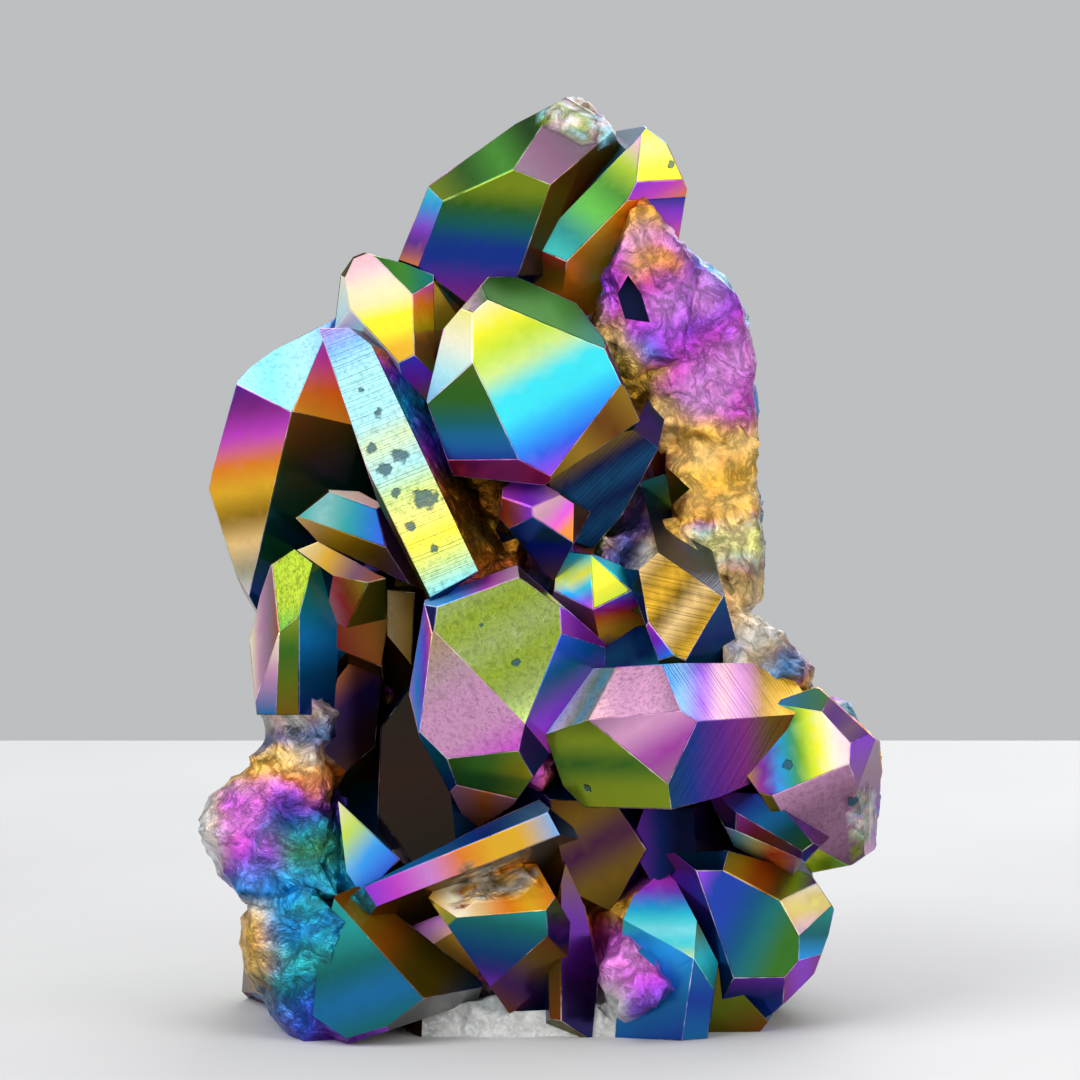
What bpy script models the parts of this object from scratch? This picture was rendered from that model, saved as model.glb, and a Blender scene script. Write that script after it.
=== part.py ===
"""An aura quartz cluster: one natural piece, modelled as one solid.

Large six-sided crystals and some broken, rough faces stand on a lump of rock that
is sawn flat underneath, so that the specimen stands up. It all grew together, so
every crystal is joined to the rock in one closed body.

The corners of the crystals on the front are written as they are seen there, in
millimetres to the right of the middle line and above the table. Each crystal
starts from one face: its corners, its depth towards the eye and the way it looks.
The other faces turn back from it along its edges.
"""

import math

import bmesh
import bpy
from mathutils import Matrix, Vector, noise

MM = 0.001

# The front view: its eye is level with the middle of the stone and looks down a little.
EYE = Vector((0.0, 80.0, 900.0))
LOOKING_DOWN = math.radians(5.0)
# How far the table lies under the front view's zero point.
TABLE_DROP = 3.9

# A free-standing crystal: how much its sides and tip faces differ from one to the next,
# how steep its tip is, and how far the tip faces keep from its middle line.
SIDES = 6
SIDE_SWAY = 0.16
SIDE_STEP = 2.7
TIP_STEEP = 0.78
TIP_SWAY = 0.1
TIP_STEP = 1.9
TIP_BLUNT = 0.12
# How far its root reaches back into the rock from its foot, in radii.
ROOT = 0.3

# The small crystals that fill the back between the large ones: how many, how far they
# spread to the sides and up and down, the middle of that spread, the turn from each to
# the next, and a step that makes their sizes and directions uneven.
SMALL_COUNT = 30
SMALL_SPREAD = (33.0, 54.0)
SMALL_MIDDLE = (-4.0, 62.0)
SMALL_TURN = 137.5
SMALL_UNEVEN = 2.4
# Where they start behind the front view's plane and how they fan out from a level.
SMALL_DEPTH = -6.0
SMALL_FOOT = 0.85
SMALL_FAN = (90.0, 150.0)
SMALL_LEVEL = 50.0
SMALL_SWAY = 0.2
# Their radius and length, each with the most that one differs from the middle value.
SMALL_RADIUS = (3.6, 1.3)
SMALL_LENGTH = (22.0, 3.0)
SMALL_SPIN = 40
SMALL_TIP = 0.8

BLOCK = 130.0
NEAR_ZERO = 1e-4
WELD = 0.004


def seen_on(corner, point, normal):
    """Where the line of sight through a corner of the front view meets a plane."""
    sight = Vector((corner[0], corner[1], 0.0)) - EYE
    return EYE + sight * ((point - EYE).dot(normal) / sight.dot(normal))


def looking(right, up):
    """The normal of a face that looks so many degrees to the right and up."""
    a, b = math.radians(right), math.radians(up)
    return Vector((math.sin(a) * math.cos(b), math.sin(b), math.cos(a) * math.cos(b)))


def turned(normal, start, end, inside, degrees):
    """The normal of the face that turns back from another at the edge start to end."""
    outward = (end - start).normalized().cross(normal)
    if outward.dot(start - inside) < 0:
        outward.negate()
    angle = math.radians(degrees)
    return normal * math.cos(angle) + outward * math.sin(angle)


def sight_walls(lines, heart):
    """Planes that end a crystal along lines of corners, seen edge-on from the front."""
    planes = []
    for line in lines:
        for a, b in zip(line, line[1:]):
            start, end = Vector((*a, 0.0)), Vector((*b, 0.0))
            side = (start - EYE).cross(end - EYE).normalized()
            if side.dot(heart - start) > 0:
                side.negate()
            planes.append((start, side))
    return planes


def cleave(planes, centre):
    """A block cut down to a closed convex solid by (point, outward normal) planes."""
    shape = bmesh.new()
    bmesh.ops.create_cube(shape, size=2 * BLOCK, matrix=Matrix.Translation(centre))
    for point, normal in planes:
        parts = shape.verts[:] + shape.edges[:] + shape.faces[:]
        cut = bmesh.ops.bisect_plane(
            shape,
            geom=parts,
            plane_co=point,
            plane_no=normal,
            clear_outer=True,
            dist=NEAR_ZERO,
        )
        rim = [e for e in cut["geom_cut"] if isinstance(e, bmesh.types.BMEdge)]
        if len(rim) > 2:
            bmesh.ops.contextual_create(shape, geom=rim)
    bmesh.ops.recalc_face_normals(shape, faces=shape.faces)
    return shape


def crystal(near, facing, face, folds=(), walls=(), deep=16.0):
    """A crystal grown back from one face, its face 0.

    face: corners (right, up, degrees); the degrees turn back the face along the edge
    that starts at the corner, and None leaves that edge without one. These are faces
    1, 2, 3 and so on. near: depth of the first corner. folds: more faces, each given
    as (parent, corner, corner, bend), where the bend is degrees, or a third corner
    and the face it lies on. walls: lines where the crystal ends from sight.
    """
    normal = looking(*facing)
    first = seen_on(face[0], Vector((0.0, 0.0, near)), Vector((0.0, 0.0, 1.0)))
    corners = [seen_on(c, first, normal) for c in face]
    heart = sum(corners, Vector()) / len(corners)
    faces = [(first, normal, heart)]
    for i, (_, _, degrees) in enumerate(face):
        start, end = corners[i], corners[(i + 1) % len(face)]
        if degrees is None:
            faces.append(None)
        else:
            faces.append((start, turned(normal, start, end, heart, degrees), (start + end) / 2))
    inner = heart - normal * deep / 2
    for parent, a, b, bend in folds:
        point, plane, inside = faces[parent]
        start, end = seen_on(a, point, plane), seen_on(b, point, plane)
        if isinstance(bend, tuple):
            third, other = bend
            apex = seen_on(third, *faces[other][:2])
            side = (end - start).cross(apex - start).normalized()
            if side.dot(inner - start) > 0:
                side.negate()
        else:
            side = turned(plane, start, end, inside, bend)
        faces.append((start, side, (start + end) / 2))
    planes = [f[:2] for f in faces if f] + [(heart - normal * deep, -normal)]
    return cleave(planes + sight_walls(walls, heart), inner)


def lump(near, facing, outline, deep, detail, swell, seed):
    """A rough block: an outline seen from the front, a depth, and an uneven surface."""
    normal = looking(*facing)
    first = seen_on(outline[0], Vector((0.0, 0.0, near)), Vector((0.0, 0.0, 1.0)))
    corners = [seen_on(c, first, normal) for c in outline]
    heart = sum(corners, Vector()) / len(corners) - normal * deep / 2
    ring = list(outline) + [outline[0]]
    planes = [(first, normal), (first - normal * deep, -normal)] + sight_walls([ring], heart)
    shape = bmesh.new()
    bmesh.ops.create_icosphere(shape, subdivisions=detail, radius=1.0)
    shift = Vector((seed * 7.3, seed * 3.1, seed * 5.7))
    grain = deep / (2 * detail)
    for corner in shape.verts:
        ray = corner.co.normalized()
        reach = [(p - heart).dot(n) / ray.dot(n) for p, n in planes if ray.dot(n) > NEAR_ZERO]
        corner.co = heart + ray * min(reach)
        corner.co += noise.noise_vector(corner.co / grain + shift) * swell
    return shape


def point_crystal(foot, towards, radius, length, spin, tip=1.5):
    """A free-standing six-sided crystal with uneven tip faces, for sides and back."""
    axis = Vector(towards).normalized()
    turn = axis.to_track_quat("Z", "Y")
    start = Vector(foot)
    planes = [(start - axis * radius * ROOT, -axis)]
    for i in range(SIDES):
        angle = math.radians(360 / SIDES * i + spin)
        out = turn @ Vector((math.cos(angle), math.sin(angle), 0.0))
        wide = radius * (1.0 + SIDE_SWAY * math.sin(SIDE_STEP * i + spin))
        planes.append((start + out * wide, out))
        steep = TIP_STEEP + TIP_SWAY * math.cos(TIP_STEP * i + spin)
        slope = (out + axis * steep).normalized()
        high = start + axis * (length - tip * (i % 3)) + out * radius * TIP_BLUNT
        planes.append((high, slope))
    return cleave(planes, start + axis * length / 2)


def crown():
    """The two tallest crystals, at the top, and the chipped end of the left one."""
    left = crystal(
        6.0, (-12, -4),
        [(-15.6, 134.2, 52), (-4.3, 139.3, 40), (1.7, 136.9, 62), (-3.6, 122.2, 75),
         (-11.4, 117.7, 70), (-19.5, 123.8, 48)],
        walls=[[(-22.6, 125.3), (-20.2, 131), (-18, 136.6), (-3.9, 146.6), (4.2, 150.8),
                (10.8, 146.8), (12.6, 143.6), (5, 126)]],
        deep=24.0,
    )
    right = crystal(
        5.0, (-14, 10),
        [(0.2, 128.4, 62), (16.2, 145.0, 48), (15.5, 137.3, 55), (10.2, 127.1, 40),
         (7.3, 123.3, 42), (0.2, 126.3, 60)],
        folds=[(2, (18.0, 135.9), (23.2, 136.2), 38)],
        walls=[[(14.5, 145.9), (16.6, 146.3), (20.3, 143.5), (23.6, 136.2), (22, 127)]],
        deep=22.0,
    )
    chipped = lump(-2.0, (0, 20), [(2.6, 146.2), (3.4, 150), (5.2, 150.8), (8.6, 149.6),
                                   (10.4, 146.6), (9.2, 143.6), (4.8, 143.2)],
                   12.0, 3, 1.0, 1)
    return [left, right, chipped]


def centre():
    """The big crystal in the middle, with the broken root under it."""
    head = crystal(
        20.0, (3, 8),
        [(-10.8, 116.4, 40), (-8.4, 118.5, 46), (10.4, 110.6, 62), (13.0, 105.0, 48),
         (0.7, 88.9, 50), (-2.1, 90.1, 36), (-10.8, 108.3, 42)],
        folds=[(6, (-14.5, 92.8), (-3.6, 92.9), 34)],
        walls=[[(-14.6, 92), (-18.2, 102.2), (-15.5, 113.8), (-8.2, 122.2), (-3.8, 122.2),
                (5.8, 117.9), (10.3, 112.2), (15.2, 101)], [(-13.6, 90.2), (0.7, 88.7)],
               [(0.5, 88.6), (14.7, 98.2)]],
        deep=26.0,
    )
    root = crystal(
        16.0, (20, -18),
        [(1.0, 90.0, 80), (6.9, 96.0, 80), (15.0, 97.6, 60), (19.0, 94.7, 75),
         (13.1, 83.9, 75), (8.5, 78.6, 75), (5.2, 79.8, 80)],
        walls=[[(19.2, 95), (13.3, 83.5), (8.5, 78.3), (5, 79.5), (0, 90)]],
        deep=22.0,
    )
    pink = crystal(
        20.0, (8, 4),
        [(-1.4, 85.3, 50), (3.2, 87.2, 60), (5.4, 85.8, 60), (5.3, 79.6, 48), (-1.2, 83.7, 45)],
        walls=[[(-6.6, 83), (-6, 88.4), (-4.1, 89.5), (0.5, 89), (5.6, 86)],
               [(5.5, 79.5), (2.1, 73.2), (0.6, 75), (-6.4, 82)]],
        deep=16.0,
    )
    return [head, root, pink]


def left_side():
    """The crystals of the left side, from the small one at the top down to the foot."""
    small = crystal(
        9.0, (-6, 4),
        [(-27.1, 126.1, 48), (-20.4, 119.3, 55), (-20.1, 109.6, 45), (-22.6, 108.3, 60),
         (-30.5, 117.0, 62), (-31.2, 122.0, 55), (-29.8, 125.0, 50)],
        walls=[[(-33, 113), (-31.9, 122.4), (-29.9, 125.3), (-27.1, 126.4), (-21.8, 124.3),
                (-17.0, 123.0), (-16.8, 104)]],
        deep=20.0,
    )
    behind = crystal(
        3.0, (12, 0),
        [(-17.6, 122.4, 50), (-13.4, 116.0, 60), (-13.0, 104.0, 60), (-18.5, 102.0, 60),
         (-21.0, 109.0, 60), (-20.4, 119.0, 55)],
        walls=[[(-20, 119), (-17.4, 123.3), (-15, 122), (-11.5, 117.2)]],
        deep=18.0,
    )
    blade = crystal(
        13.0, (-10, 9),
        [(-36.9, 110.3, 80), (-37.4, 112.7, 85), (-36.0, 113.9, 85), (-30.5, 114.0, 80),
         (-27.0, 111.2, 76), (-9.9, 75.0, 70), (-17.6, 70.8, 66)],
        walls=[[(-10, 75), (-19.6, 67.5), (-25.9, 86), (-38.8, 111)]],
        deep=15.0,
    )
    big = crystal(
        3.0, (-30, 0),
        [(-48.6, 105.0, 44), (-39.8, 100.5, 60), (-46.6, 71.0, 60), (-48.5, 74.0, 60),
         (-53.0, 88.0, 60), (-52.4, 91.0, 60)],
        folds=[(1, (-39.6, 100.6), (-36.1, 108.4), 42)],
        walls=[[(-48.7, 73.5), (-53.2, 87.9), (-52.6, 91), (-48.8, 105.2), (-46.3, 107.7),
                (-42.5, 110.4), (-38.3, 112.6)], [(-46.8, 70.6), (-44, 66)]],
        deep=26.0,
    )
    wedge = crystal(
        10.0, (2, 2),
        [(-38.6, 83.8, 58), (-33.7, 87.7, 62), (-26.1, 85.0, 60), (-24.6, 78.8, 44)],
        walls=[[(-39, 83.6), (-33.8, 88.1), (-29, 87.8), (-24, 85)],
               [(-39, 83.4), (-35.5, 79.6), (-25, 74.8)]],
        deep=16.0,
    )
    lens = crystal(
        12.0, (0, 30),
        [(-38.9, 78.4, 95), (-35.5, 79.8, 100), (-24.6, 73.9, 80), (-27.5, 73.2, 70),
         (-33.1, 74.3, 70)],
        deep=12.0,
    )
    lime = crystal(
        15.0, (-10, 22),
        [(-42.9, 76.1, 60), (-39.3, 78.5, 50), (-35.4, 75.5, 42), (-38.5, 68.0, 36),
         (-41.7, 65.2, 44)],
        folds=[(4, (-38.5, 67.9), (-38.5, 57.7), 48), (4, (-41.7, 65.0), (-42.0, 58.0), 42)],
        walls=[[(-46.4, 64), (-44.8, 71), (-43, 76.2), (-39.4, 78.7), (-35.4, 75.8),
                (-33, 73.4)], [(-46.5, 64), (-45.4, 52), (-33, 52), (-32.4, 60)]],
        deep=22.0,
    )
    stub = lump(15.0, (0, -10), [(-43.6, 56.2), (-38.2, 57.4), (-35, 55.2), (-32.5, 51.8),
                                 (-33.2, 47), (-42.3, 47), (-44.5, 51.6)],
                18.0, 3, 1.2, 2)
    red = crystal(
        9.0, (10, -4),
        [(-34.0, 73.4, 85), (-27.7, 73.4, 60), (-24.5, 69.0, 75), (-25.3, 59.3, 60),
         (-31.0, 62.0, 60), (-36.0, 64.0, 85)],
        deep=16.0,
    )
    violet = crystal(
        7.0, (18, 10),
        [(-34.6, 55.0, 80), (-30.4, 60.4, 60), (-25.4, 58.5, 70), (-26.4, 47.0, 75),
         (-31.0, 43.0, 75), (-34.5, 46.0, 85)],
        deep=16.0,
    )
    smoky = crystal(
        6.0, (-14, 12),
        [(-25.5, 50.0, 65), (-21.0, 56.0, 65), (-15.0, 46.0, 75), (-13.5, 32.0, 75),
         (-20.0, 28.0, 75), (-26.0, 36.0, 75)],
        deep=14.0,
    )
    beige = crystal(
        6.0, (6, 10),
        [(-24.4, 72.0, 75), (-20.0, 71.6, 75), (-20.5, 60.0, 75), (-24.4, 64.7, 75)],
        deep=12.0,
    )
    return [small, behind, blade, big, wedge, lens, lime, stub, red, violet, smoky, beige]


def left_foot():
    """The rough, broken foot on the left with the smooth teal face in front."""
    neck = lump(13.0, (-8, 18), [(-42.6, 50.5), (-34.6, 50), (-33, 40), (-36, 34),
                                 (-46, 38), (-45.2, 44.8)], 26.0, 3, 2.0, 3)
    shoulder = lump(15.0, (-14, 14), [(-52, 38.9), (-45, 44.6), (-36, 43), (-32, 33),
                                      (-33, 22), (-46.4, 22.4), (-50.4, 25.4), (-54.6, 34)],
                    30.0, 3, 2.2, 4)
    heel = lump(20.0, (-16, 6), [(-47.2, 19.8), (-44, 26), (-32, 25), (-31, 12), (-33, -4),
                                 (-37, -4), (-40.5, 1), (-44, 6.2), (-47.2, 13)],
                32.0, 3, 2.0, 5)
    teal = crystal(
        22.0, (-8, 14),
        [(-34.2, 24.0, 52), (-18.6, 6.6, 80), (-24.5, 2.2, 80), (-31.0, 0.3, 80),
         (-37.3, 4.5, 85), (-35.5, 12.0, 85)],
        walls=[[(-36, 22), (-29, 24.6), (-20, 17.8), (-9, 9), (-10, 6.3), (-24.5, 1.4)]],
        deep=24.0,
    )
    ridge = crystal(
        15.0, (26, 14),
        [(-32.3, 38.2, 70), (-22.3, 29.0, 60), (-28.5, 23.0, 60), (-31.0, 27.0, 55)],
        walls=[[(-34, 30), (-32.3, 38.4)]],
        deep=16.0,
    )
    return [neck, shoulder, heel, teal, ridge]


def front_foot():
    """The crystals along the foot, from the long bar to the lower right."""
    bar = crystal(
        24.0, (6, -10),
        [(-28.2, 24.5, 64), (1.3, 36.4, 60), (3.2, 32.8, 56), (-26.1, 21.4, 50)],
        walls=[[(-28.6, 24.8), (-27.5, 26), (-10, 34), (-0.6, 38.9), (2.2, 36.6)]],
        deep=12.0,
    )
    shelf = crystal(
        25.0, (-2, -6),
        [(-16.5, 16.7, 42), (-13.3, 19.6, 58), (1.0, 20.8, 60), (1.3, 16.7, 42),
         (-7.9, 8.6, 50)],
        walls=[[(-21.2, 17.6), (-17, 24), (-12, 28), (-0.6, 28.2), (3, 22)],
               [(-8, 8.6), (-4.7, 3.9), (3, 5)]],
        deep=20.0,
    )
    dark = crystal(
        20.0, (-26, 4),
        [(3.4, 30.0, 54), (3.4, 3.0, 60), (-2.0, 4.0, 60), (1.3, 17.0, 50), (1.2, 28.2, 45)],
        walls=[[(3.2, 30.2), (7.1, 21.4), (9.3, 10.6), (8.6, 3)]],
        deep=18.0,
    )
    rock = lump(19.0, (0, 8), [(-22, 5), (-15, 6.2), (-5, 7), (4, 7), (13, 6), (14, -6),
                               (-20, -6)], 30.0, 3, 1.0, 6)
    pink = lump(28.0, (4, 8), [(9.3, 10), (12, 17), (15.3, 15.7), (18.5, 12.2), (21.6, 8.4),
                               (19, 5.2), (13.7, 2.8), (11, 6)], 20.0, 3, 1.2, 7)
    tooth = crystal(
        15.0, (4, 34),
        [(20.2, 27.5, 50), (22.8, 25.7, 50), (25.1, 19.0, 50), (24.6, 13.1, 40),
         (13.3, 19.3, 50), (14.9, 23.0, 55)],
        folds=[(4, (24.6, 13.0), (22.8, 0.5), 42), (4, (13.3, 19.2), (12.0, 0.2), 50)],
        walls=[[(25, 19.2), (28.6, 12.4), (26.8, 0)]],
        deep=26.0,
    )
    corner = crystal(
        20.0, (10, 2),
        [(25.0, 27.1, 45), (29.3, 27.1, 42), (38.4, 22.3, 34), (41.5, 16.7, 40),
         (41.4, 12.7, 52), (39.2, 10.0, 44), (31.0, 9.9, 56)],
        walls=[[(26.5, 30.2), (30, 30.4), (43.4, 26.5), (47.1, 21),
                (46.2, 16.9), (43.6, 9.8), (39.8, 6.5), (36.5, 3.2)]],
        deep=24.0,
    )
    keel = crystal(
        18.0, (2, -14),
        [(28.2, 12.0, 75), (36.6, 2.9, 82), (31.7, -3.0, 85), (26.6, -3.0, 85)],
        deep=20.0,
    )
    return [bar, shelf, dark, rock, pink, tooth, corner, keel]


def right_side():
    """The crystals of the right side and the large one lying across the middle."""
    far = crystal(
        19.0, (10, 10),
        [(37.6, 53.8, 48), (45.1, 52.6, 46), (49.7, 47.5, 50), (49.5, 44.2, 34),
         (37.1, 39.1, 46), (32.2, 40.2, 60), (32.2, 47.7, 60), (34.9, 51.8, 60)],
        folds=[(4, (50.6, 43.0), (51.7, 33.0), 46), (4, (43.5, 31.2), (48.9, 28.1), 36)],
        walls=[[(37.4, 54.1), (43.8, 56.3), (44.7, 56.2), (54.2, 47.6), (54.6, 43),
                (53.6, 30.5), (50, 28), (43.3, 26.7), (41.8, 29)]],
        deep=24.0,
    )
    under = crystal(
        18.0, (-4, 22),
        [(28.0, 39.8, 60), (36.8, 39.3, 60), (43.8, 31.5, 60), (42.0, 30.2, 50),
         (31.4, 36.4, 55)],
        folds=[(4, (31.0, 33.6), (42.0, 28.8), 40)],
        walls=[[(27, 38.8), (31, 31), (40.3, 26.2), (44, 30)]],
        deep=18.0,
    )
    across = crystal(
        29.0, (-8, 4),
        [(7.7, 51.3, None), (22.5, 52.7, None), (25.2, 51.0, 50), (20.5, 40.9, 38)],
        folds=[(0, (22.5, 52.7), (25.2, 51.0), ((33.7, 51.6), 3)),
               (0, (7.7, 51.3), (22.5, 52.7), ((19.6, 60.0), 5)),
               (6, (8.2, 52.0), (12.0, 59.3), 30)],
        walls=[[(-2.3, 54.7), (-1.3, 58.4), (0.2, 59), (12, 59.7), (20, 60.3),
                (39.2, 60.3), (42.2, 55.2), (36, 42), (28.5, 38.8), (21.2, 36.9),
                (7.1, 37.2), (3.6, 40.7), (1.2, 47.7)]],
        deep=30.0,
    )
    etched = crystal(
        25.0, (6, 12),
        [(-16.5, 69.3, 60), (-3.3, 74.1, 62), (3.2, 69.3, 46), (3.7, 59.8, 46),
         (-2.4, 50.6, 24), (-17.0, 65.6, 52)],
        folds=[(5, (-17.3, 65.0), (-19.3, 49.3), 52), (5, (-19.3, 49.3), (-14.9, 45.0), 52),
               (5, (-14.9, 45.0), (-2.8, 46.3), ((-11.4, 35.0), 8)),
               (5, (-2.4, 50.6), (-2.8, 46.3), 60), (9, (-12.8, 40.6), (-5.4, 38.9), 24)],
        walls=[[(-11.0, 33.4), (-19.4, 48.6), (-21, 55.5), (-18.5, 70.4), (-3.8, 76.1),
                (10.6, 63.4), (10.3, 58), (-4.5, 37.3), (-11.0, 33.4)]],
        deep=26.0,
    )
    knob = lump(20.0, (0, 5), [(-3.8, 42.6), (-2.8, 45.6), (-0.4, 46.6), (2, 45.4),
                               (2.6, 42.8), (1, 40.5), (-2, 40.2)], 16.0, 3, 0.6, 8)
    rainbow = crystal(
        14.0, (-26, 6),
        [(2.5, 74.4, 55), (4.2, 78.1, 58), (8.1, 77.6, 46), (8.5, 68.8, 50), (2.2, 71.9, 60)],
        folds=[(3, (8.5, 77.3), (14.4, 72.1), 38), (3, (8.6, 68.9), (14.6, 71.9), 44)],
        walls=[[(4.2, 78.3), (9, 77.6), (15.4, 74.9), (17.2, 65), (14, 60)]],
        deep=18.0,
    )
    gold = crystal(
        17.0, (4, 8),
        [(15.8, 75.2, 60), (18.9, 78.0, 60), (29.3, 70.9, 48), (23.3, 60.7, 60),
         (21.5, 61.5, 48), (17.3, 66.9, 60)],
        walls=[[(29.5, 71), (31.3, 64.2), (31, 58)], [(16.6, 67), (19, 60.5), (23, 58)]],
        deep=18.0,
    )
    navy = crystal(
        10.0, (6, 16),
        [(9.5, 66.5, 60), (18.0, 66.0, 60), (20.0, 58.0, 75), (9.5, 58.0, 75)],
        deep=14.0,
    )
    brown = crystal(
        19.0, (8, -6),
        [(1.5, 38.5, 70), (12.0, 38.0, 70), (17.0, 30.5, 60), (11.5, 20.5, 70),
         (4.5, 24.0, 70)],
        deep=20.0,
    )
    plum = crystal(
        15.0, (-14, 4),
        [(17.0, 38.0, 70), (24.5, 37.0, 75), (25.0, 29.0, 75), (18.0, 25.0, 75),
         (14.5, 31.0, 70)],
        deep=18.0,
    )
    return [far, under, across, etched, knob, rainbow, gold, navy, brown, plum]


def broken_right():
    """The broken flank on the upper right, with its druzy foot and its tail."""
    upper = lump(9.0, (14, 6), [(15.4, 137.6), (20, 130.6), (24.5, 125.4), (23, 108),
                                (10, 106), (8.4, 119), (13.2, 130)],
                 18.0, 3, 1.6, 9)
    flank = lump(4.0, (16, 4), [(14, 127), (22.2, 127.2), (29.4, 121.9), (32.6, 117),
                                (34.2, 106), (34.8, 95), (18.6, 94), (10.5, 105.5),
                                (8.6, 115)],
                 24.0, 3, 1.6, 10)
    skirt = lump(4.2, (16, 4), [(19.2, 97), (30, 101), (34.2, 95), (35.4, 79), (35.8, 71),
                                (32.4, 67), (24, 68), (20.8, 83.4)],
                 24.0, 3, 1.6, 17)
    druzy = lump(9.0, (4, 20), [(9.4, 79.4), (20.8, 84), (28, 76), (31, 70), (28, 66),
                                (14, 68), (8, 72)], 22.0, 3, 1.8, 11)
    tail = lump(9.0, (8, 20), [(29, 72), (34.9, 68.6), (37.4, 65.8), (42, 63.3), (43.9, 60),
                               (43.6, 56.6), (36, 54), (28, 58)], 22.0, 3, 1.6, 12)
    glow = lump(6.0, (0, 10), [(-16, 92), (-4, 92), (-2, 80), (-4, 70), (-14, 70)],
                16.0, 3, 1.6, 13)
    return [upper, flank, skirt, druzy, tail, glow]


def rock():
    """The lump of rock that everything stands on and grows out of."""
    lower = lump(4.0, (0, 4), [(-38, -8), (-44, 20), (-42, 45), (-30, 62), (30, 58),
                               (38, 42), (38, 12), (32, -8)], 27.5, 2, 4.0, 18)
    middle = lump(0.0, (4, 4), [(-39, 58), (-43, 78), (-38, 98), (-15, 108), (25, 108),
                                (29, 90), (29, 70), (24, 48), (-24, 48)],
                  21.0, 2, 3.5, 15)
    upper = lump(-1.0, (0, 4), [(-18, 98), (-14, 118), (-2, 128), (14, 128), (24, 118),
                                (30, 104), (20, 90), (-12, 90)], 15.0, 2, 3.0, 16)
    return [lower, middle, upper]


def back():
    """Crystals on the back and on the sides, which the front view does not show."""
    stand = [
        # foot, direction, radius, length, spin
        ((6, 133, -9), (0.08, 0.30, -0.95), 6.0, 20.0, 22),
        ((-3, 112, -5), (-0.12, 0.50, -0.86), 8.5, 28.0, 10),
        ((14, 106, -6), (0.25, 0.35, -0.90), 8.0, 27.0, 35),
        ((-26, 92, -6), (-0.30, 0.45, -0.84), 10.0, 30.0, 20),
        ((-1, 88, -8), (0.03, 0.30, -0.95), 11.5, 32.0, 5),
        ((20, 80, -6), (0.32, 0.05, -0.94), 9.0, 29.0, 50),
        ((-30, 66, -8), (-0.40, 0.04, -0.92), 10.5, 29.0, 15),
        ((-6, 60, -9), (-0.12, -0.10, -0.99), 12.5, 31.0, 25),
        ((20, 50, -8), (0.25, 0.18, -0.95), 11.0, 30.0, 40),
        ((38, 46, 0), (0.40, 0.05, -0.91), 8.5, 26.0, 12),
        ((-36, 31, -5), (-0.45, 0.05, -0.89), 8.2, 26.0, 11),
        ((-20, 27, -9), (-0.18, -0.05, -0.98), 11.5, 29.0, 30),
        ((8, 28, -8), (0.10, 0.10, -0.99), 12.5, 31.0, 18),
        ((32, 20, -4), (0.32, 0.05, -0.94), 9.5, 27.0, 28),
        ((-40, 90, -8), (-0.30, 0.10, -0.95), 7.0, 22.0, 33),
        ((-3, 8, -10), (0.00, -0.12, -0.99), 9.5, 25.0, 3),
        ((-36, 11, -6), (-0.30, -0.05, -0.95), 8.5, 24.0, 44),
        ((23, 7, -8), (0.18, -0.06, -0.98), 8.5, 24.0, 26),
        # beside the broken flank, looking to the right
        ((15, 116, -7), (0.62, 0.15, -0.77), 5.5, 19.0, 14),
        ((16, 99, -8), (0.52, 0.12, -0.84), 6.0, 20.0, 31),
        ((22, 66, -6), (0.66, 0.05, -0.75), 6.0, 19.0, 47),
        ((34, 34, -6), (0.60, -0.10, -0.79), 6.5, 19.0, 9),
    ]
    crystals = [point_crystal(*row) for row in stand]
    for i in range(SMALL_COUNT):
        # a sunflower-seed spread keeps the small crystals evenly apart
        reach = math.sqrt((i + 0.5) / SMALL_COUNT)
        around = math.radians(SMALL_TURN * i)
        right = SMALL_MIDDLE[0] + SMALL_SPREAD[0] * reach * math.cos(around)
        up = SMALL_MIDDLE[1] + SMALL_SPREAD[1] * reach * math.sin(around)
        uneven = math.sin(SMALL_UNEVEN * i)
        towards = (right / SMALL_FAN[0] + SMALL_SWAY * uneven, (up - SMALL_LEVEL) / SMALL_FAN[1], -1.0)
        radius = SMALL_RADIUS[0] + SMALL_RADIUS[1] * math.cos(SMALL_UNEVEN * 2 * i)
        length = SMALL_LENGTH[0] + SMALL_LENGTH[1] * uneven
        foot = (right * SMALL_FOOT, up, SMALL_DEPTH)
        crystals.append(point_crystal(foot, towards, radius, length, SMALL_SPIN * i, SMALL_TIP))
    return crystals


def pits():
    """The dark opening in the broken flank, between the crown and the flank's face."""
    opening = [(14.1, 122.4), (12.4, 119.4), (13.6, 115.4), (17.6, 114.8), (16.2, 119.4)]
    heart = Vector((15.0, 118.5, 12.0))
    floor = Vector((0.0, 0.0, -3.0))
    lid = Vector((0.0, 0.0, 30.0))
    back_to_front = Vector((0.0, 0.0, 1.0))
    planes = [(floor, -back_to_front), (lid, back_to_front)]
    return [cleave(planes + sight_walls([opening + opening[:1]], heart), heart)]


def table_frame():
    """Turns the front view's millimetres into metres over the table."""
    upright = Matrix.Rotation(math.radians(90.0) - LOOKING_DOWN, 4, "X")
    return Matrix.Diagonal((MM, MM, MM, 1.0)) @ Matrix.Translation((0, 0, -TABLE_DROP)) @ upright


def group(shapes, name):
    """A collection that holds closed solids as objects, for one Boolean."""
    parts = bpy.data.collections.new(name)
    for shape in shapes:
        mesh = bpy.data.meshes.new(name)
        shape.to_mesh(mesh)
        shape.free()
        parts.objects.link(bpy.data.objects.new(name, mesh))
    return parts


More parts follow.
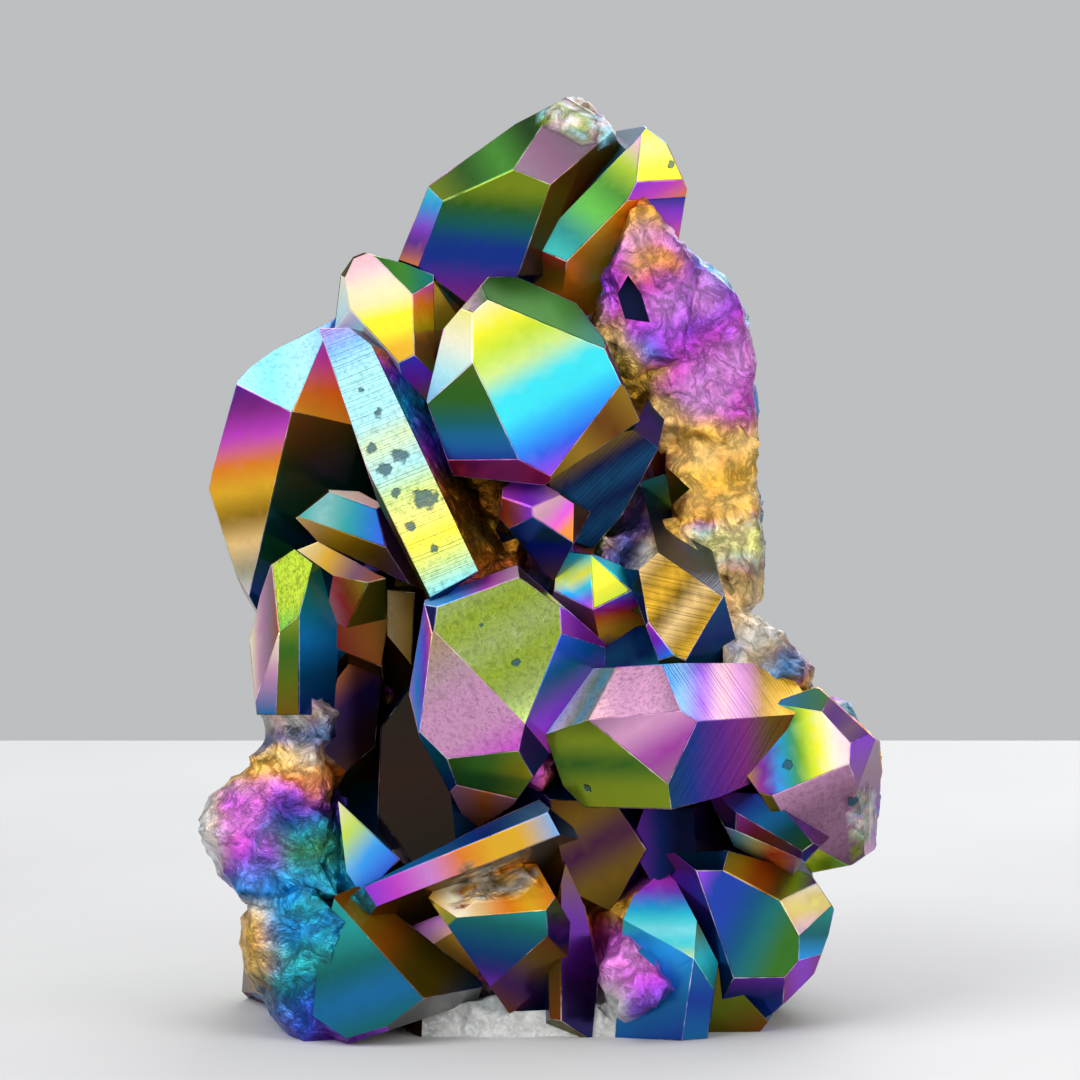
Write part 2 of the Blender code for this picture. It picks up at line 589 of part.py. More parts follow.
def combine(whole, parts, operation):
    """Join the solids of a collection to an object, or cut them out of it."""
    step = whole.modifiers.new(parts.name, "BOOLEAN")
    step.operand_type = "COLLECTION"
    step.collection = parts
    step.operation = operation
    step.solver = "EXACT"
    view = bpy.context.evaluated_depsgraph_get()
    result = bpy.data.meshes.new_from_object(whole.evaluated_get(view))
    whole.modifiers.clear()
    whole.data = result
    for part in list(parts.objects):
        bpy.data.objects.remove(part)
    bpy.data.collections.remove(parts)


def clean(shape, merge):
    """Weld corners that lie together, and fill hollows that are sealed inside."""
    bmesh.ops.remove_doubles(shape, verts=shape.verts, dist=merge)
    bmesh.ops.dissolve_degenerate(shape, edges=shape.edges, dist=merge)
    loose = [e for e in shape.edges if not e.link_faces]
    bmesh.ops.delete(shape, geom=loose, context="EDGES")
    left = set(shape.verts)
    shells = []
    while left:
        shell, edge = set(), [left.pop()]
        while edge:
            corner = edge.pop()
            shell.add(corner)
            near = {e.other_vert(corner) for e in corner.link_edges} & left
            left -= near
            edge.extend(near)
        shells.append(shell)
    shells.sort(key=len)
    for shell in shells[:-1]:
        bmesh.ops.delete(shape, geom=list(shell), context="VERTS")


def saw_flat(shape):
    """Cut the foot off level with the table and close the cut with one face."""
    parts = shape.verts[:] + shape.edges[:] + shape.faces[:]
    cut = bmesh.ops.bisect_plane(
        shape,
        geom=parts,
        plane_co=(0, 0, 0),
        plane_no=(0, 0, -1),
        clear_outer=True,
        dist=NEAR_ZERO * MM,
    )
    rim = [e for e in cut["geom_cut"] if isinstance(e, bmesh.types.BMEdge) and e.is_boundary]
    bmesh.ops.triangle_fill(shape, edges=rim, use_beauty=True)
    bmesh.ops.recalc_face_normals(shape, faces=shape.faces)


def aura_quartz():
    """The metal-like, many-coloured skin of the crystals."""
    material = bpy.data.materials.new("aura_quartz")
    material.use_nodes = True
    skin = material.node_tree.nodes["Principled BSDF"]
    skin.inputs["Base Color"].default_value = (0.30, 0.22, 0.42, 1.0)
    skin.inputs["Roughness"].default_value = 0.22
    skin.inputs["Metallic"].default_value = 0.85
    return material


for old in list(bpy.data.objects):
    bpy.data.objects.remove(old)

noise.seed_set(1)
solids = rock() + broken_right() + left_foot() + front_foot() + left_side()
solids += right_side() + centre() + crown() + back()
to_table = table_frame()
for solid in solids:
    solid.transform(to_table)

first = bpy.data.meshes.new("crystal_cluster")
solids[0].to_mesh(first)
cluster = bpy.data.objects.new("crystal_cluster", first)
bpy.context.scene.collection.objects.link(cluster)
combine(cluster, group(solids[1:], "grown_parts"), "UNION")
hollows = pits()
for hollow in hollows:
    hollow.transform(to_table)
combine(cluster, group(hollows, "hollows"), "DIFFERENCE")

body = bmesh.new()
body.from_mesh(cluster.data)
clean(body, WELD * MM)
saw_flat(body)
bmesh.ops.triangulate(body, faces=body.faces)
spread = [[v.co[axis] for v in body.verts] for axis in (0, 1)]
middle = [-(min(side) + max(side)) / 2 for side in spread]
body.transform(Matrix.Translation((*middle, 0.0)))
body.to_mesh(cluster.data)
body.free()
cluster.data.materials.clear()
cluster.data.materials.append(aura_quartz())
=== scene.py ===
"""An aura quartz cluster on a pale floor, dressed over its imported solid."""

import math

import bmesh
import bpy
from mathutils import Matrix, Vector, noise
from mathutils.bvhtree import BVHTree


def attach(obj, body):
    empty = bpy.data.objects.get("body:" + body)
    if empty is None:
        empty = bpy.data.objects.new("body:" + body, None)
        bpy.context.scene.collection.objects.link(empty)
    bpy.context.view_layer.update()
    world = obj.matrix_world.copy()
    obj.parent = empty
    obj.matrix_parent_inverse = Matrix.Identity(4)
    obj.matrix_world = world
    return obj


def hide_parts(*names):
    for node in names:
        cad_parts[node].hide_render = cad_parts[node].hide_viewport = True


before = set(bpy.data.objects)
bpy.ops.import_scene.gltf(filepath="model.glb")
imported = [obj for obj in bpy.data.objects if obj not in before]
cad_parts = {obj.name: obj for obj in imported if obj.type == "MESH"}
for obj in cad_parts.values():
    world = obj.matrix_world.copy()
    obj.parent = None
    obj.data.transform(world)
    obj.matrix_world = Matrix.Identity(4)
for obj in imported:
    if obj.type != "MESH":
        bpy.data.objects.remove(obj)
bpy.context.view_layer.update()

# The camera
# It stands in front of the stone and looks down a little. Its frame takes in 172.8 mm
# at the stone's middle. The stone's colours are placed by the same view.
MM = 0.001
LOOKING_DOWN = math.radians(5.0)
SIGHT = 900.0
EYE_HEIGHT = 80.0
FRAME_WIDTH = 172.8
TABLE_DROP = 3.9
MIDDLE = Vector((-0.133, -8.942, 0.0))

turn = Matrix.Rotation(math.radians(90.0) - LOOKING_DOWN, 4, "X")
eye = (turn @ Vector((0, EYE_HEIGHT, SIGHT)) + Vector((0, 0, -TABLE_DROP)) + MIDDLE) * MM
lens = bpy.data.cameras.new("camera")
lens.sensor_width = 36.0
lens.lens = 36.0 * SIGHT / FRAME_WIDTH
lens.clip_end = 20.0
camera = bpy.data.objects.new("camera", lens)
camera.matrix_world = Matrix.Translation(eye) @ turn
bpy.context.scene.collection.objects.link(camera)
bpy.context.scene.camera = camera
to_eye = camera.matrix_world.inverted()


def front(point):
    """Where a point is seen from the front: millimetres right and up of the base."""
    seen = to_eye @ point
    return seen.x / -seen.z * SIGHT, seen.y / -seen.z * SIGHT + EYE_HEIGHT


def sight(right, up):
    """The direction from the eye to a place of the front view."""
    return (camera.matrix_world.to_3x3() @ Vector((right, up - EYE_HEIGHT, -SIGHT))).normalized()


# The crystals
# Quartz points grown together on rock, with a very thin metal film laid on them. The
# film's colour follows its thickness, which changes evenly over each flat face.
noise.seed_set(1)
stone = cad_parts["crystal_cluster"]
mesh = stone.data.copy()
mesh.name = "crystals"
skin = bmesh.new()
skin.from_mesh(mesh)
skin.transform(stone.matrix_world)
bmesh.ops.remove_doubles(skin, verts=skin.verts, dist=1e-6)
bmesh.ops.triangulate(skin, faces=skin.faces)
skin.faces.ensure_lookup_table()
skin.normal_update()


def spread(faces, limit):
    """Groups of faces that meet at less than the limit, as a number for each face."""
    group = {}
    for seed in faces:
        if seed.index in group:
            continue
        number = seed.index
        group[seed.index] = number
        edge = [seed]
        while edge:
            face = edge.pop()
            for side in face.edges:
                if len(side.link_faces) != 2 or side.calc_face_angle(0.0) > limit:
                    continue
                for other in side.link_faces:
                    if other.index not in group:
                        group[other.index] = number
                        edge.append(other)
    return group


# Facets are faces in one plane. Lumps are faces that turn only a little to the next.
FLAT = math.radians(0.8)
ROUGH_TURN = math.radians(38.0)
ROUGH_COUNT = 6
ROUGH_FACE = 45e-6
ROUGH_BIT = 12e-6
facets = spread(skin.faces, FLAT)
lumps = spread(skin.faces, ROUGH_TURN)
members = {}
for face in skin.faces:
    members.setdefault(lumps[face.index], set()).add(facets[face.index])
area = {}
for face in skin.faces:
    area[facets[face.index]] = area.get(facets[face.index], 0.0) + face.calc_area()

# The order of the film's colours as it gets thicker, as places on the shader's ramp.
FILM = {
    "silver": 0.0, "gold": 0.07, "orange": 0.14, "red": 0.19, "magenta": 0.25, "violet": 0.32,
    "blue": 0.39, "azure": 0.46, "cyan": 0.52, "teal": 0.58, "green": 0.65, "lime": 0.73,
    "yellow": 0.80, "cream": 0.86, "pink": 0.92, "mauve": 1.0,
}

# Each flat face of the front: a place on it (right, up), the way its colours run
# (0 to the right, 90 up), and the colours. Each + after a colour is paler, each - darker:
# painted shade, where a face lies in shade or mirrors dark surroundings.
FACES = [
    # crown, left crystal
    (-8, 143, 30, "lime- green- green green-- green-"),
    (3, 141.5, 40, "mauve-+ mauve- mauve--+ mauve-"),
    (-8, 130, -95, "lime- lime- green- teal- blue- blue- violet- magenta-"),
    (-19.3, 130, -100, "cyan azure violet violet- orange"),
    (5, 137, -120, "gold-- orange-- gold-- silver---"),
    # crown, right crystal
    (19.5, 141, -80, "yellow lime+ yellow yellow"),
    (20.5, 134.6, -90, "blue- violet magenta orange"),
    (10.5, 133.2, -125, "mauve lime- green- green teal- teal"),
    (3.5, 124.5, -100, "red orange- gold- orange"),
    (10, 124.5, 0, "orange gold orange"),
    # centre
    (2, 103, -62, "cream yellow lime lime+ cyan cyan azure blue violet"),
    (2, 117.5, -20, "green-- green- green- teal-"),
    (-9, 119.6, 0, "cream-+ mauve-+ green-"),
    (-8.5, 98, -90, "lime-- green- green- teal- azure- blue-"),
    (-8.5, 91.8, 0, "red- magenta- magenta- red-"),
    (-14, 106, -110, "yellow+ cream++ cyan++ azure+"),
    (9, 96, 45, "gold-- gold- orange-- gold-"),
    (12, 92, -60, "gold-- blue--- azure-- blue--- azure-- blue---"),
    (2, 84, -45, "mauve pink- magenta orange orange"),
    (0, 87.6, 0, "magenta violet magenta+"),
    (-4, 84.5, 0, "red- orange- magenta- violet"),
    (2, 79, -90, "azure-- blue-- gold--"),
    # upper left
    (-26, 117, -75, "pink pink+ cream+ cream yellow yellow gold gold"),
    (-22, 122.4, 0, "green- green teal"),
    (-20.2, 107, -50, "blue violet magenta orange"),
    (-31.6, 119.5, -90, "cream++ cyan++"),
    (-27, 111.3, -50, "violet-- magenta-- blue-- violet--"),
    (-17.5, 110, -85, "magenta orange gold lime- gold- lime-"),
    (-14.6, 118.6, -50, "yellow azure+ green orange"),
    # blade
    (-27, 98, -65,
     "violet+ azure+ cyan++ cyan++ cyan++ lime++ cyan++ lime+ yellow+ yellow lime+ cyan+"),
    # big left crystal
    (-43, 106, 0, "cyan++ cyan+ cyan++ azure+"),
    (-37, 104, -90, "azure magenta orange gold"),
    (-48, 90, -80, "violet- magenta- magenta orange gold gold- gold+ cream-+ silver+"),
    (-40, 88, -70, "gold-- lime--- teal-- teal-- blue-"),
    # wedge and lens
    (-31, 84, -10, "teal teal+ teal azure- blue"),
    (-30.5, 87.4, 0, "cream++ cream+"),
    (-31, 79.7, -20, "gold+ gold gold- violet-"),
    (-32, 76.2, -25, "cream gold mauve- orange-"),
    # lime crystal
    (-39.5, 72, -80, "lime- lime- lime- green"),
    (-40, 62, -90, "lime- green- lime-- gold--"),
    (-36.8, 66, -90, "green- teal azure azure- blue-"),
    (-43.6, 63, 0, "cream+ mauve mauve-+ orange-"),
    # pocket, its faces painted dark as its shade
    (-30, 68, 20, "red+ red orange- gold- lime-"),
    (-22.5, 68.5, 0, "gold--+ gold--"),
    (-29, 52, -60, "orange-- violet---- violet----- orange-----"),
    (-19.5, 42, -80, "gold------- orange------ gold-------"),
    # teal foot, ridge
    (-27, 10, -70, "teal teal teal- azure- teal-"),
    (-19, 15.5, -40, "orange- gold- orange- gold-- gold-- azure--"),
    (-26, 30, -40, "cream-+ lime- azure- blue-"),
    # bar
    (-12, 28.5, 20, "violet magenta magenta+ orange gold gold azure+"),
    (-10, 33, 20, "azure- azure- blue- azure-+"),
    # shelf
    (-6, 15, -100, "teal teal- azure-- blue-- violet-"),
    (-16.7, 19.5, -50, "yellow magenta magenta+ gold"),
    (-7, 24, 10, "gold cream++ gold+ orange gold orange"),
    (-2, 9, -120, "orange-- gold-- violet-- orange--"),
    (-12.5, 12.8, -60, "gold-- orange--"),
    # dark slender pair
    (2.4, 22, -90, "lime-- teal-- violet-- blue-- gold--"),
    (5, 17, -90, "gold--- violet-- violet--- blue----"),
    # tooth
    (20, 21, -90, "magenta violet azure cyan cyan+ cyan lime+"),
    (18, 12.5, -80, "teal- azure- azure- blue-"),
    (26, 15.5, -60, "lime- cyan teal-"),
    (25.5, 7, -90, "azure- blue- azure-"),
    # lower right corner
    (34, 17.5, -25, "violet blue- blue- azure-- teal- green- green-"),
    (33, 26.5, -10, "gold- gold- orange- gold-- lime- violet-"),
    (43, 21.8, -75, "cream++ gold+ yellow+ gold+ pink+ mauve+"),
    (43.6, 14.5, -90, "teal teal- azure"),
    (41.6, 9.7, 0, "magenta- violet magenta-"),
    (35, 7.2, -90, "violet- blue-- blue-"),
    (30.5, 5.5, -60, "gold-- lime-- orange--"),
    # far right
    (41, 47.5, 8, "gold- magenta- violet- azure teal green lime yellow cream+ pink++ pink+"),
    (42, 54.8, 0, "azure- teal- green-"),
    (49.3, 50.8, -40, "mauve- violet- mauve- violet-"),
    (53.2, 40, -90, "mauve-+ mauve- violet- mauve"),
    (46, 37.5, -60, "mauve mauve- mauve- mauve--"),
    (46.2, 29.2, 0, "lime lime- green"),
    (51.5, 47.1, -70, "violet mauve-"),
    (36, 37.3, -50, "violet- blue- azure- teal-- green--"),
    (35.5, 33.2, -40, "magenta- red-- orange--- violet---"),
    (36.5, 30, -30, "violet+ cyan+ yellow+ red orange blue"),
    # the crystal lying across
    (14.5, 56, 0, "pink mauve mauve mauve-"),
    (19, 48.8, -60, "mauve- mauve magenta- mauve-"),
    (10.5, 44, -90, "lime-- lime- green- lime- lime-"),
    (30, 56.5, 0, "azure azure+ violet pink magenta+ gold- gold gold"),
    (27, 45.5, 0, "azure-- blue- violet- magenta- gold-- orange--"),
    # etched crystal
    (-6, 62.5, -60, "lime-+ lime- lime-+ lime- lime-+ lime+"),
    (-12, 53, -60, "gold-+ pink-+ mauve mauve magenta"),
    (-18.9, 59, 0, "violet+ azure violet orange"),
    (-10, 72.9, 0, "azure+ azure magenta mauve+"),
    (6.5, 64, -60, "blue azure- violet magenta"),
    (3.6, 70, -30, "cream-+ mauve- orange-"),
    (-8.5, 43.5, 0, "green- green- lime-"),
    (-9.5, 38.6, 0, "mauve orange mauve"),
    (-15.5, 43.5, -60, "azure- teal- blue-"),
    # rainbow, gold and the small ones round them
    (5, 74, -70, "cyan cyan lime yellow cyan azure violet magenta"),
    (10.3, 73.2, -60, "lime- lime yellow- lime-"),
    (12.3, 75.2, -30, "azure cyan azure-"),
    (12.3, 68, -80, "azure violet red orange gold gold azure--"),
    (22, 70, -40, "gold+ gold- gold gold-- gold+ gold- gold"),
    (19.6, 63.2, -60, "magenta violet azure"),
    (28.3, 66.2, -60, "azure-- blue-- azure--"),
    (14.5, 62.5, -60, "blue-- azure-- blue-- cyan-"),
    # under the crystal lying across
    (8, 30, -60, "orange--- gold-- magenta--- gold-- gold---"),
    (19.5, 32, 0, "violet- blue-- blue---- blue----"),
    (28, 34, -60, "violet-- blue--- magenta--- blue---"),
    (30, 36, -60, "violet-- blue---"),
    (42, 34, -30, "blue-- violet- magenta--"),
    (16, 26, -80, "violet-- blue---"),
    (26, 20, -80, "violet- blue-- azure--"),
    (20, 6, -70, "teal azure azure- blue-"),
    (2, 26, -80, "gold-- orange--"),
    (2, 6, -80, "gold--- orange--"),
    # a gap in the broken flank, painted near black as its shade
    (15, 118.5, 0, "blue---- blue----"),
    (-2, 38, -60, "azure-- blue- orange-"),
    (-18, 6, 0, "silver-- silver-"),
    # gaps and narrow faces in the middle
    (6, 54, -30, "cyan++ silver+ lime-+ cyan-+ gold-+"),
    (-2, 46, -60, "violet-- blue--"),
    (6, 66, -60, "violet magenta-"),
    (0, 74, -30, "mauve azure-"),
    (18, 86, -80, "blue--- azure--- blue---"),
    (24, 78, -60, "silver++ gold++ silver++ azure++"),
    (-10, 26, 20, "orange-- gold-- silver- gold--"),
    (-12, 34, 20, "azure- blue-"),
    # faces of the pocket, painted dark as its shade
    (-28, 64, 20, "red-- orange-- gold---"),
    (-24, 60, -80, "orange--- gold---"),
    (-28, 70, 0, "gold- lime--"),
    (-20, 66, -80, "gold--- orange---"),
    (-22, 72, -80, "gold---"),
    (-28, 38, -60, "teal-- azure-- silver-"),
    (-26, 48, -80, "gold--- orange---"),
    (-26, 42, -80, "orange--- gold---"),
    (-28, 40, -80, "gold--- orange---"),
    # narrow faces at the top and the upper left
    (-30, 90, -70, "teal- gold--"),
    (-22, 78, -70, "violet- gold-"),
    (-16, 116, -70, "gold- lime--"),
    (-30, 114, -90, "cream++ azure++"),
    (-44, 58, -90, "cream+ mauve azure-"),
    (4, 130, -60, "gold--- silver---"),
    (14, 144, -130, "azure-+ teal- mauve-"),
    (12, 130, -60, "gold+ cyan++ gold"),
    (18, 136, -60, "violet magenta orange"),
]
# Faces with strong growth lines, and the way that the lines run.
LINED = {
    (12, 92): 45, (30, 56.5): -55, (27, 45.5): 60, (22, 70): -12, (18, 86): 45, (-27, 98): 22,
}
# Faces with a fine etched grain.
ETCHED = {
    (-27, 98), (-39.5, 72), (-6, 62.5), (-12, 53), (-43, 106), (14.5, 56), (6, 54), (-9, 119.6),
    (46, 37.5),
}

# Broken rock: an outline on the front view, the way its colours run, and the colours.
BREAKS = [
    ([(1.5, 151.5), (12, 149), (10.6, 143.6), (6.5, 142.8), (2.2, 145.4)], 0,
     "lime-+ cyan+ pink++ lime- silver+ mauve+ cyan++"),
    ([(12, 138), (20, 137), (23, 122), (15.5, 120), (13, 128)], -70,
     "gold+ orange gold magenta+ gold magenta"),
    ([(15.5, 130), (38, 124), (38, 98), (26, 100), (19.5, 106)], -60,
     "azure+ violet+ violet magenta+ violet magenta magenta+ magenta+ magenta orange"),
    ([(5, 128), (14, 128), (19.6, 106), (26, 99), (20, 94), (5, 103)], -75,
     "cyan- orange- gold gold- gold+ gold gold-- gold+ gold"),
    ([(18, 101), (40, 101), (40, 84), (17, 86)], -80, "orange+ gold gold+ gold gold+ gold"),
    ([(17, 86), (40, 86), (40, 62), (24, 62)], -80,
     "gold+ gold cream gold-+ gold+ silver+ gold-+"),
    ([(7, 86), (20, 88), (30, 74), (30, 62), (7, 68)], -20,
     "azure- silver+ blue- silver++ gold+ azure+ silver+ gold-+"),
    ([(28, 75), (46, 66), (48, 54), (26, 56)], -50,
     "gold+ silver++ azure silver+ azure- gold gold+"),
    ([(-17, 92), (-2, 92), (-2, 70), (-17, 70)], -90, "gold-- orange- gold- orange red"),
    ([(-48, 58), (-30, 58), (-30, 46), (-48, 46)], -80,
     "blue-- azure- silver+ azure- silver++"),
    ([(-50, 50), (-30, 50), (-30, 40), (-50, 40)], -70,
     "silver++ silver+ gold gold+ orange gold"),
    ([(-62, 44), (-50.5, 42), (-51, 22), (-62, 22)], -80,
     "silver++ silver+ silver++ silver+"),
    ([(-53, 45), (-44, 45), (-42, 22), (-53, 22)], -75,
     "orange mauve+ magenta magenta+ magenta violet azure teal-"),
    ([(-45, 43), (-30, 43), (-27, 20), (-43, 20)], -85,
     "orange magenta violet- blue- teal green- teal azure teal azure-"),
    ([(-55, 24), (-44.5, 24), (-42, -4), (-55, -4)], -70,
     "silver++ silver+ gold gold+ gold- azure gold- magenta-"),
    ([(-46, 24), (-26, 24), (-30, -4), (-44, -4)], -80,
     "teal azure azure- teal azure- blue violet magenta-"),
    ([(-5, 47), (4, 47), (4, 38), (-5, 38)], -20, "magenta violet magenta orange red"),
    ([(7, 19), (24, 18), (24, 1), (7, 1)], -60,
     "orange magenta magenta+ magenta violet azure cyan"),
]
# Chips on smooth faces, where the film lies on a broken surface.
CHIPPED = [
    ([(-1.5, 151.5), (12, 149), (11.6, 144.2), (8.6, 143.2), (5.6, 144.0), (0.4, 146.6)], 0,
     "lime- cyan+ pink+ lime-+ silver+ mauve- cyan++"),
    ([(-13.6, 26.6), (-2, 29), (0.4, 25.6), (-3, 23.4), (-12.6, 21.6)], 70,
     "orange- gold silver+ gold-- silver++ gold orange"),
    ([(49.5, 38.5), (53, 41), (53.5, 34), (50.5, 30)], -70, "mauve- silver+ lime-"),
]
# Bare rock at the foot, where the base is sawn off and no film lies.
BARE = [(-24, 8.5), (14, 8.5), (14, -6), (-24, -6)]


def inside(place, outline):
    """True where a place lies in an outline whose corners turn one way."""
    sides = []
    for a, b in zip(outline, outline[1:] + outline[:1]):
        sides.append((b[0] - a[0]) * (place[1] - a[1]) - (b[1] - a[1]) * (place[0] - a[0]))
    return all(s >= 0 for s in sides) or all(s <= 0 for s in sides)


def along(place, angle):
    """How far a place lies in a direction of the front view."""
    way = math.radians(angle)
    return place[0] * math.cos(way) + place[1] * math.sin(way)


tree = BVHTree.FromBMesh(skin)
painted = {}
for right, up, angle, words in FACES:
    hit = tree.ray_cast(eye, sight(right, up))[2]
    if hit is not None and facets[hit] not in painted:
        painted[facets[hit]] = (angle, words, (right, up) in ETCHED, LINED.get((right, up)))

# Deep pits, most of them in the long blade: a place on the front view and a radius.
PITTED = [
    (-25.8, 100.3, 0.9), (-27.0, 94.7, 0.8), (-24.6, 91.4, 1.1), (-22.6, 93.4, 1.2),
    (-18.5, 86.5, 1.9), (-23.2, 87.4, 0.7), (-20.6, 82.2, 0.8), (-28.6, 104.0, 0.5),
    (-17.0, 78.6, 0.6), (7.6, 40.2, 0.7), (39.6, 44.0, 0.6), (50.0, 38.0, 0.9),
    (-9.4, 66.4, 0.5), (-4.0, 60.4, 0.6), (21.0, 140.2, 0.5),
]
dents_at = []
for right, up, size in PITTED:
    hit = tree.ray_cast(eye, sight(right, up))[0]
    if hit is not None:
        dents_at.append((tuple(hit), size))

# Broken rock: lumps of many small facets, a few picked by a place on the front view, the
# small facets of the left foot, and the bits that lie between such facets.
FOOT_RIGHT = -27.0 * MM
FOOT_BACK = 12.0 * MM
FOOT_TOP = 50.0 * MM
FOOT_FACE = 40e-6
ROCK = [(19.9, 98.9), (23.3, 97.6)]
BIT_PASSES = 3
rough = set()
for number, group in members.items():
    mean = sum(area[f] for f in group) / len(group)
    if len(group) >= ROUGH_COUNT and mean < ROUGH_FACE:
        rough |= group
beside = {}
for side in skin.edges:
    one, two = (facets[f.index] for f in side.link_faces)
    if one != two:
        beside.setdefault(one, set()).add(two)
        beside.setdefault(two, set()).add(one)
for right, up in ROCK:
    hit = tree.ray_cast(eye, sight(right, up))[2]
    if hit is not None:
        rough.add(facets[hit])
for face in skin.faces:
    spot = face.calc_center_median()
    in_foot = spot.x < FOOT_RIGHT and spot.y < FOOT_BACK and spot.z < FOOT_TOP
    if in_foot and area[facets[face.index]] < FOOT_FACE:
        rough.add(facets[face.index])
for _ in range(BIT_PASSES):
    bits = {f for f in area if area[f] < ROUGH_BIT and len(beside[f] & rough) >= 2}
    rough |= bits
rough -= set(painted)

# The other crystal faces get a way and a run of colours by their number: bright ones on
# the back and the sides, and ones darkened with painted shade deep in the gaps of the front.
RUNS = [
    "green- teal- azure- blue", "lime- green- teal", "blue violet magenta-",
    "gold orange- magenta-", "cyan azure blue violet", "mauve mauve- violet-",
    "yellow lime green teal-", "gold gold- lime-", "magenta violet azure cyan",
    "lime- green- lime-", "teal teal- azure-", "pink mauve magenta",
]
SHADED_GAP_RUNS = ["gold--- orange--", "blue--- azure--", "violet--- blue--", "gold-- lime---"]
WAY_STEP = 37
RUN_STEP = 7
for face in skin.faces:
    chosen = facets[face.index]
    if chosen not in painted and chosen not in rough:
        spot = face.calc_center_median()
        gap = face.normal.dot(eye - spot) > 0 and spot.y < 0.0
        runs = SHADED_GAP_RUNS if gap else RUNS
        words = runs[chosen * RUN_STEP % len(runs)]
        painted[chosen] = (chosen * WAY_STEP % 360, words, False, None)

# A chipped rim along the sharp edges: each face of a crystal gets a narrow strip all
# round, and the edge between two strips is knocked in a little.
RIM = 0.2 * MM
RIM_FACE = 4e-6
RIM_NARROW = 0.45 * MM
SHARP = math.radians(12.0)
number_of = skin.faces.layers.int.new("facet")
knock = skin.verts.layers.float.new("chip")
by_facet = {}
around = {}
for face in skin.faces:
    face[number_of] = facets[face.index]
    by_facet.setdefault(facets[face.index], []).append(face)
for side in skin.edges:
    pair = {facets[f.index] for f in side.link_faces}
    for number in pair:
        if len(pair) == 2:
            around[number] = around.get(number, 0.0) + side.calc_length()
framed = {
    n for n in by_facet
    if n not in rough and area[n] > RIM_FACE and area[n] / around[n] > RIM_NARROW
}
for corner in skin.verts:
    edges = [e for e in corner.link_edges if e.calc_face_angle(0.0) > SHARP / 4]
    keen = all(e.is_convex and e.calc_face_angle(0.0) > SHARP for e in edges)
    if edges and keen and {f[number_of] for f in corner.link_faces} <= framed:
        corner[knock] = 1.0
for number in sorted(framed):
    strip = bmesh.ops.inset_region(
        skin, faces=by_facet[number], thickness=RIM, use_even_offset=True, use_boundary=True
    )
    inner = set(by_facet[number])
    for face in strip["faces"]:
        face[number_of] = number
    for face in inner:
        for corner in face.verts:
            corner[knock] = 0.0

# Fine faces, so that the colours, the chips and the relief of broken rock can follow them.
FINE_SMOOTH = 2.0 * MM
FINE_ROUGH = 1.2 * MM
TOO_LONG = 1.5
FINE_PASSES = 6
bmesh.ops.triangulate(skin, faces=[f for f in skin.faces if len(f.verts) > 3])
for _ in range(FINE_PASSES):
    long_sides = []
    for side in skin.edges:
        near_rough = any(f[number_of] in rough for f in side.link_faces)
        fine = FINE_ROUGH if near_rough else FINE_SMOOTH
        if side.calc_length() > fine * TOO_LONG:
            long_sides.append(side)
    bmesh.ops.subdivide_edges(
        skin, edges=long_sides, cuts=1, use_grid_fill=True, use_single_edge=True
    )
    bmesh.ops.triangulate(skin, faces=[f for f in skin.faces if len(f.verts) > 3])
skin.normal_update()

# Broken rock is scooped and gritty, and only where all round it is broken, so that the
# crystals' edges stay sharp. Chipped edges are knocked in here and there.
SCOOP = 1.1 * MM
SCOOP_ACROSS = 3.2
SMALL_SCOOP_ACROSS = 1.7
GRIT = 0.3 * MM
GRIT_ACROSS = 0.8
CHIP = 0.12 * MM
CHIP_ACROSS = 2.3
moves = []
for corner in skin.verts:
    spot = corner.co / MM
    if all(f[number_of] in rough for f in corner.link_faces):
        scoop = abs(noise.noise(spot / SCOOP_ACROSS))
        scoop += 0.5 * abs(noise.noise(spot / SMALL_SCOOP_ACROSS))
        grit = noise.noise(spot / GRIT_ACROSS)
        moves.append((corner, corner.normal * (0.25 * SCOOP - scoop * SCOOP + grit * GRIT)))
    elif corner[knock] > 0.0:
        depth = 0.6 + 1.6 * max(noise.noise(spot / CHIP_ACROSS), 0.0)
        moves.append((corner, corner.normal * -CHIP * depth * corner[knock]))
for corner, move in moves:
    corner.co += move
for corner in skin.verts:
    corner.co.z = max(corner.co.z, 0.0)

# The colours of the words. A run blends from one word's colour to the next.
TONES = {
    "silver": (0.60, 0.60, 0.58), "gold": (0.85, 0.47, 0.015), "orange": (0.86, 0.22, 0.01),
    "red": (0.62, 0.02, 0.03), "magenta": (0.60, 0.05, 0.60), "violet": (0.28, 0.03, 0.72),
    "blue": (0.01, 0.08, 0.70), "azure": (0.01, 0.33, 0.86), "cyan": (0.03, 0.70, 0.80),
    "teal": (0.005, 0.29, 0.27), "green": (0.06, 0.30, 0.02), "lime": (0.52, 0.72, 0.02),
    "yellow": (0.93, 0.85, 0.02), "cream": (0.93, 0.80, 0.42), "pink": (0.88, 0.50, 0.56),
    "mauve": (0.55, 0.26, 0.45),
}
CHALK = (0.80, 0.86, 0.88)
PALER = 0.22
# Each - darkens a colour by this much: painted shade.
SHADE_STEP = 0.45
reach = {}
for face in skin.faces:
    number = face[number_of]
    if number in painted:
        span = [along(front(c.co), painted[number][0]) for c in face.verts]
        low, high = reach.get(number, (1e9, -1e9))
        reach[number] = (min(low, *span), max(high, *span))


def toned(words, share):
    """Colour, place in the film, paleness and painted shade at a share of the way along a run."""
    stops = []
    for word in words.split():
        name = word.rstrip("+-")
        pale = min(PALER * word.count("+"), 1.0)
        dark = SHADE_STEP ** word.count("-")
        tone = [(t + (c - t) * pale) * dark for t, c in zip(TONES[name], CHALK)]
        stops.append((*tone, FILM[name], pale, dark))
    place = min(max(share, 0.0), 1.0) * (len(stops) - 1)
    first = min(int(place), max(len(stops) - 2, 0))
    last = min(first + 1, len(stops) - 1)
    return [a + (b - a) * (place - first) for a, b in zip(stops[first], stops[last])]


